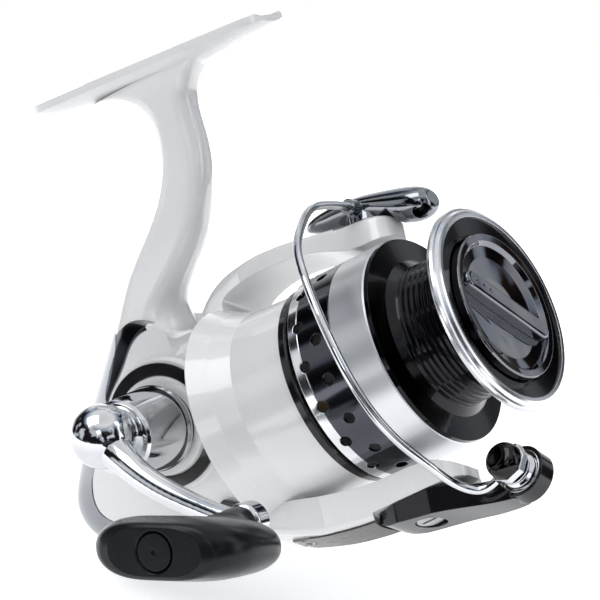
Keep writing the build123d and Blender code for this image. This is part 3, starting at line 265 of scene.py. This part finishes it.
# where the bands of the skirt start, in mm forward of its front edge
GUNMETAL_BAND = -18.6
SILVER_BAND = -9.5
BLACK_FRONT = 0.05
BAND_REACH = 22.0
SKIRT_SKIN = 0.02395  # the bands show further than this from the shaft's axis


def band_place(forward):
    """The place on a ramp that runs BAND_REACH to each side of the skirt's front edge."""
    return (forward + BAND_REACH) / (2 * BAND_REACH)


def banded(edge, gunmetal, silver, front):
    """Ramp stops for what differs from band to band."""
    starts = (0.0, band_place(GUNMETAL_BAND), band_place(SILVER_BAND), band_place(BLACK_FRONT))
    return list(zip(starts, (edge, gunmetal, silver, front)))


def spool_finish():
    """Black anodised spool with the skirt's silver edge, gunmetal band and satin silver band."""
    dark = (0.02, 0.02, 0.022)
    look = Finish("spool_bands", dark, metallic=1.0, roughness=0.2, coat=0.35, coat_roughness=0.05)
    forward, radius = look.along_and_off_shaft()
    from_edge = look.math("SUBTRACT", forward, SKIRT_X)
    along = look.ranged(from_edge, 0.0, 1.0, -BAND_REACH * MM, BAND_REACH * MM)
    black, gunmetal, silver = (0.010, 0.010, 0.012), (0.07, 0.073, 0.088), (0.82, 0.83, 0.85)
    polished, satin = (0.12, 0.12, 0.12), (0.36, 0.36, 0.36)
    on_skirt = look.math("GREATER_THAN", radius, SKIRT_SKIN)
    rings = look.noise(1.0, 4, look.stretched((8000, 30, 30)), 0.7)
    bands = look.ramp(along, banded(silver, gunmetal, silver, black), True)
    grain = look.ramp(along, banded(polished, polished, satin, polished), True)
    tone = look.mixed(on_skirt, black, bands)
    look.colour(look.mixed(look.ranged(rings, 0.0, 0.10), tone, (0.0, 0.0, 0.0)))
    smoothness = look.mixed(on_skirt, (0.2, 0.2, 0.2), grain)
    look.rough(look.math("ADD", smoothness, look.ranged(rings, -0.03, 0.05)))
    look.bump(rings, 0.000005, 0.3)
    return look


FINISHES = {
    "pearl": pearl_paint(),
    "chrome": chrome("chrome", (0.66, 0.67, 0.69), 0.04),
    "rim_satin": lathe_turned("lip_satin", (0.72, 0.73, 0.75), 0.17),
    "smoked": chrome("smoked_chrome", (0.20, 0.205, 0.225), 0.03, ripple=0.0007),
    "gunmetal_chrome": chrome("gunmetal_chrome", (0.24, 0.25, 0.27), 0.04, ripple=0.0002),
    "gunmetal": chrome("gunmetal", (0.12, 0.115, 0.11), 0.18),
    "black_chrome": chrome("black_chrome", (0.035, 0.033, 0.033), 0.06),
    "print": moulded("black_print", (0.007, 0.007, 0.008), 0.14, 3000, 0.000003, coat=0.3),
    "black": moulded("black_plastic", (0.006, 0.006, 0.007), 0.12, 2600, 0.000004, coat=0.3, specular=0.32),
    "rubber": moulded("knob_rubber", (0.006, 0.007, 0.009), 0.26, 3200, 0.00002, specular=0.22),
    "steel": lathe_turned("steel", (0.55, 0.56, 0.58), 0.22),
    "screw": lathe_turned("screw_steel", (0.50, 0.51, 0.53), 0.28),
    "brass": lathe_turned("brass", (0.70, 0.49, 0.20), 0.28),
    "zinc": chrome("cast_zinc", (0.42, 0.43, 0.45), 0.38, 1800),
    "nylon": moulded("nylon", (0.55, 0.54, 0.50), 0.4, 2000, 0.00001),
    "felt": moulded("carbon_felt", (0.02, 0.02, 0.02), 0.7, 5200, 0.00005),
    "spool": spool_finish(),
}
WORN_BY = {
    "pearl": ["body_housing", "side_cover", "rotor"],
    "chrome": ["handle_collar", "handle_arm", "bail_wire", "line_roller", "roller_seat", "body_screws",
               "roller_cone"],
    "rim_satin": ["spool_lip"],
    "smoked": ["drag_knob", "drag_knob_grip"],
    "gunmetal_chrome": ["bail_lever", "rear_cover"],
    "gunmetal": ["arm_cover"],
    "black_chrome": ["cone_tip"],
    "print": ["boss_ring"],
    "black": ["bail_arm", "anti_reverse_lever", "port_cap", "rotor_rim", "handle_seal"],
    "rubber": ["handle_knob", "knob_cap"],
    "steel": ["main_shaft", "knob_spindle", "arm_pin", "roller_screw", "gear_bearings", "pinion_bearing",
              "one_way_clutch", "drag_spring", "bail_spring", "kick_lever", "line_clip", "rotor_nut"],
    "screw": ["clutch_screws", "slider_screw", "nut_plate_screw", "arm_cover_screw", "bail_pivot_screws",
              "drag_clip"],
    "brass": ["pinion_gear", "drag_knob_nut"],
    "zinc": ["drive_gear", "slider_block", "clutch_cover"],
    "nylon": ["oscillation_gear", "slider_guide", "nut_plate", "click_gear", "click_pawl", "spool_washer",
              "roller_bush", "knob_bushes"],
    "felt": ["drag_washers"],
    "spool": ["spool"],
}
for kind, names in WORN_BY.items():
    for name in names:
        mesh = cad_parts[name].data
        mesh.materials.clear()
        mesh.materials.append(FINISHES[kind].material)

# --- grip of the handle ------------------------------------------------------------------------
# depth from the reel's middle plane, half width, half thickness and drop below the spindle, all in mm
GRIP_SECTIONS = [
    (53.0, 4.2, 4.0, 0.0),
    (55.2, 4.3, 4.0, 0.1),
    (57.4, 5.6, 4.1, 0.6),
    (59.4, 10.0, 4.5, 1.6),
    (62.0, 15.0, 5.2, 2.2),
    (66.0, 17.4, 6.0, 2.2),
    (72.0, 18.4, 6.6, 1.5),
    (78.0, 18.4, 6.9, 0.8),
    (82.0, 17.6, 6.9, 0.2),
    (85.2, 16.0, 6.4, 0.0),
    (87.2, 13.9, 6.0, 0.0),
    (88.0, 11.4, 5.2, 0.0),
]
# depth and radius of the bore, with the seats of its two bushes and of its cap
GRIP_BORE = [
    (88.0, 4.7), (87.3, 4.15), (86.3, 4.1), (86.3, 3.2), (83.0, 3.2), (83.0, 2.0), (56.0, 2.0), (56.0, 3.2),
    (53.0, 3.2),
]
GRIP_ACROSS = Vector((0.921, 0, -0.389)).normalized()
GRIP_UP = Vector((0.389, 0, 0.921)).normalized()
GRIP_SIDES = 72
GRIP_RINGS_EACH = 5
GRIP_ROUNDNESS = 0.86  # corner radius as a share of the half thickness
GRIP_FLATNESS = 0.45  # lower gives flatter sides between the corners


def grip_ring(spindle, depth, half_width, half_thickness, drop, roundness=GRIP_ROUNDNESS):
    """The rounded outline of the grip at one depth."""
    corner = min(half_width, half_thickness) * roundness
    ring = []
    for index in range(GRIP_SIDES):
        turn = 2 * math.pi * (index + 0.5) / GRIP_SIDES
        wide, high = math.cos(turn), math.sin(turn)
        x = (half_width - corner) * math.copysign(abs(wide) ** GRIP_FLATNESS, wide) + corner * wide
        y = (half_thickness - corner) * math.copysign(abs(high) ** GRIP_FLATNESS, high) + corner * high - drop
        on_axis = Vector((spindle.x, -depth * MM, spindle.z))
        ring.append(on_axis + (GRIP_ACROSS * x + GRIP_UP * y) * MM)
    return ring


def smooth_between(rows, index, t):
    """A point of the curve through the rows, between row index and the next one."""
    before, start = rows[max(index - 1, 0)], rows[index]
    end, after = rows[index + 1], rows[min(index + 2, len(rows) - 1)]
    values = []
    for column in range(len(start)):
        depth_step = end[0] - start[0]
        slope_in = (end[column] - before[column]) / (end[0] - before[0]) * depth_step
        slope_out = (after[column] - start[column]) / (after[0] - start[0]) * depth_step
        values.append(
            (2 * t ** 3 - 3 * t ** 2 + 1) * start[column] + (t ** 3 - 2 * t ** 2 + t) * slope_in
            + (3 * t ** 2 - 2 * t ** 3) * end[column] + (t ** 3 - t ** 2) * slope_out
        )
    return values


def handle_grip():
    """The soft T-shaped grip, bored for its spindle, in place of the plain CAD one."""
    low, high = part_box("knob_spindle")
    spindle = (Vector(low) + Vector(high)) / 2
    rows = [
        smooth_between(GRIP_SECTIONS, index, step / GRIP_RINGS_EACH)
        for index in range(len(GRIP_SECTIONS) - 1)
        for step in range(GRIP_RINGS_EACH)
    ]
    rows.append(GRIP_SECTIONS[-1])
    rings = [grip_ring(spindle, *row) for row in rows]
    rings += [grip_ring(spindle, depth, radius, radius, 0.0, 1.0) for depth, radius in GRIP_BORE]
    points = [point for ring in rings for point in ring]
    faces = []
    for ring in range(len(rings)):
        here, there = ring * GRIP_SIDES, (ring + 1) % len(rings) * GRIP_SIDES
        for side in range(GRIP_SIDES):
            beside = (side + 1) % GRIP_SIDES
            faces.append((here + side, here + beside, there + beside, there + side))
    mesh = bpy.data.meshes.new("grip")
    mesh.from_pydata(points, [], faces)
    mesh.update()
    skin = mesh.polygons[GRIP_SIDES * (len(rows) // 2)]
    outward = skin.center - Vector((spindle.x, skin.center.y, spindle.z))
    if skin.normal.dot(outward) < 0:
        mesh.flip_normals()
    mesh.materials.append(FINISHES["rubber"].material)
    mesh.polygons.foreach_set("use_smooth", [True] * len(mesh.polygons))
    for edge in mesh.edges:
        # the skin's last ring and every ring of the bore are sharp corners
        rings_of_edge = {vertex // GRIP_SIDES for vertex in edge.vertices}
        edge.use_edge_sharp = len(rings_of_edge) == 1 and rings_of_edge.pop() >= len(rows) - 1
    return shown(bpy.data.objects.new("grip", mesh))


grip = handle_grip()
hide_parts("handle_knob")
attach(grip, "knob")

# --- camera ------------------------------------------------------------------------------------
CAMERA_AT = Vector((0.52816, -0.88632, -0.16322))
LOOK = Vector((-0.50201, 0.85940, 0.09699))
UP = Vector((0.38653, 0.12262, 0.91409))
LENS_MM = 275.7
SENSOR_MM = 36.0
NEAREST = 0.05
FURTHEST = 50.0

# the camera's own directions
back = -LOOK.normalized()
across = UP.cross(back).normalized()
above = back.cross(across).normalized()
centre = (cad_box[0] + cad_box[1]) / 2

camera = shown(bpy.data.objects.new("camera", bpy.data.cameras.new("camera")))
turned = Matrix((across, above, back)).transposed().to_4x4()
camera.matrix_world = Matrix.Translation(CAMERA_AT) @ turned
camera.data.sensor_width = SENSOR_MM
camera.data.lens = LENS_MM
camera.data.clip_start = NEAREST
camera.data.clip_end = FURTHEST
bpy.context.scene.camera = camera

# --- floor -------------------------------------------------------------------------------------
# the reel leans on its grip and lower rotor arm, so the floor leans in the reel's own frame
FLOOR_NORMAL = Vector((0.535, -0.178, 0.826)).normalized()
FLOOR_GAP = 0.009
FLOOR_RADIUS = 0.42
FLOOR_SIDES = 96
# the paper's glow, beside the reel and further out, with the distances between which it rises
GLOW = (0.46, 1.0)
GLOW_RISE = (0.07, 0.26)


def paper_finish(foot):
    """Bright white paper that glows as painted light, more strongly away from the reel, and clear when it is
    seen from below.
    """
    look = Finish("paper", (0.93, 0.93, 0.93), roughness=0.8, specular=0.1)
    # painted light: the paper glows, weaker beside the reel and stronger further out
    look.set("Emission Color", (1, 1, 1, 1))
    look.link(look.ranged(look.distance(foot), *GLOW, *GLOW_RISE), look.shader.inputs["Emission Strength"])
    look.colour(look.ramp(look.noise(90, 3), [(0.3, (0.93, 0.93, 0.93)), (0.7, (0.94, 0.94, 0.94))]))
    look.bump(look.noise(1500, 2), 0.00002, 0.2)
    one_sided = look.node("ShaderNodeMixShader")
    look.link(look.node("ShaderNodeNewGeometry").outputs["Backfacing"], one_sided.inputs["Fac"])
    look.link(look.shader.outputs["BSDF"], one_sided.inputs[1])
    look.link(look.node("ShaderNodeBsdfTransparent").outputs["BSDF"], one_sided.inputs[2])
    look.link(one_sided.outputs["Shader"], look.tree.nodes["Material Output"].inputs["Surface"])
    return look.material


def studio_floor():
    """A disc of paper that lies under the reel at the reel's lean."""
    lowest = min(
        (node.matrix_world @ vertex.co).dot(FLOOR_NORMAL)
        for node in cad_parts.values()
        for vertex in node.data.vertices
    )
    foot = centre + FLOOR_NORMAL * (lowest - FLOOR_GAP - centre.dot(FLOOR_NORMAL))
    side_a = FLOOR_NORMAL.cross(Vector((0, 1, 0))).normalized()
    side_b = FLOOR_NORMAL.cross(side_a).normalized()
    edge = []
    for index in range(FLOOR_SIDES):
        turn = 2 * math.pi * index / FLOOR_SIDES
        edge.append(foot + (side_a * math.cos(turn) + side_b * math.sin(turn)) * FLOOR_RADIUS)
    disc = bpy.data.meshes.new("floor")
    disc.from_pydata(edge, [], [tuple(range(FLOOR_SIDES))])
    disc.update()
    if disc.polygons[0].normal.dot(FLOOR_NORMAL) < 0:
        disc.flip_normals()
    disc.materials.append(paper_finish(foot))
    return shown(bpy.data.objects.new("floor", disc))


studio_floor()


# --- lights ------------------------------------------------------------------------------------
def softbox(name, right, up, towards, size, power):
    """A lamp aimed at the object, its place given from there in the camera's directions, in metres."""
    place = centre + across * right + above * up + back * towards
    light = bpy.data.lights.new(name, "AREA")
    light.shape = "RECTANGLE"
    light.size, light.size_y = size
    light.energy = power
    lamp = shown(bpy.data.objects.new(name, light))
    lamp.location = place
    lamp.rotation_mode = "QUATERNION"
    lamp.rotation_quaternion = (centre - place).to_track_quat("-Z", "Y")


softbox("key", -0.45, 0.75, 0.35, (0.6, 0.6), 3.1)
softbox("fill", 0.75, 0.25, 0.25, (0.25, 0.9), 1.0)
softbox("front", -0.2, 0.25, 0.95, (0.25, 0.25), 0.35)
softbox("rim", 0.1, 0.7, -0.6, (1.0, 0.5), 0.8)

# --- world -------------------------------------------------------------------------------------
BLACK = (0.012, 0.012, 0.014)
# greys of the studio by the cosine of the angle from a direction
OVERHEAD = [
    (-0.9, (0.8, 0.8, 0.8)), (-0.3, (0.30, 0.31, 0.33)), (-0.02, BLACK), (0.56, BLACK),
    (0.70, (0.42, 0.50, 0.62)), (0.84, (1.1, 1.1, 1.1)), (1.0, (0.9, 0.92, 0.95)),
]
BACKDROP = [(-1.0, (1.0, 1.0, 1.0)), (-0.86, (0.95, 0.95, 0.95)), (-0.70, (0.1, 0.1, 0.1)), (-0.6, BLACK)]
# colours of the clutter that the polished parts mirror, by the noise's value
CLUTTER = [
    (0.0, (0.02, 0.03, 0.05)), (0.46, BLACK), (0.53, (0.05, 0.03, 0.02)), (0.57, (0.55, 0.62, 0.72)),
    (0.66, (0.9, 0.9, 0.9)),
]
CLUTTER_SCALE = 2.6
CLUTTER_DETAIL = 1.5
ROOM_STRENGTH = 0.95


def lit_zone(studio, direction, stops):
    """Grey by the angle from a fixed direction: the walls of the studio."""
    share = studio.ranged(studio.facing(direction), 0.0, 1.0, -1.0, 1.0)
    return studio.ramp(share, [((cosine + 1) / 2, grey) for cosine, grey in stops])


def studio_world():
    """Plain white for the camera, and a dark studio with lit zones for what the reel mirrors."""
    world = bpy.data.worlds.new("studio")
    world.use_nodes = True
    world.node_tree.nodes.clear()
    studio = Nodes(world.node_tree, "Generated")
    overhead = lit_zone(studio, FLOOR_NORMAL, OVERHEAD)
    walls = studio.mixed(1.0, overhead, lit_zone(studio, back, BACKDROP), "LIGHTEN")
    things = studio.ramp(studio.noise(CLUTTER_SCALE, CLUTTER_DETAIL), CLUTTER)
    room = studio.node("ShaderNodeBackground")
    room.inputs["Strength"].default_value = ROOM_STRENGTH
    studio.link(studio.mixed(1.0, walls, things, "LIGHTEN"), room.inputs["Color"])
    white = studio.node("ShaderNodeBackground")
    white.inputs["Color"].default_value = (1, 1, 1, 1)
    white.inputs["Strength"].default_value = 1.0
    choose = studio.node("ShaderNodeMixShader")
    studio.link(studio.node("ShaderNodeLightPath").outputs["Is Camera Ray"], choose.inputs["Fac"])
    studio.link(room.outputs["Background"], choose.inputs[1])
    studio.link(white.outputs["Background"], choose.inputs[2])
    studio.link(choose.outputs["Shader"], studio.node("ShaderNodeOutputWorld").inputs["Surface"])
    return world


bpy.context.scene.world = studio_world()
bpy.context.scene.view_settings.view_transform = "Standard"
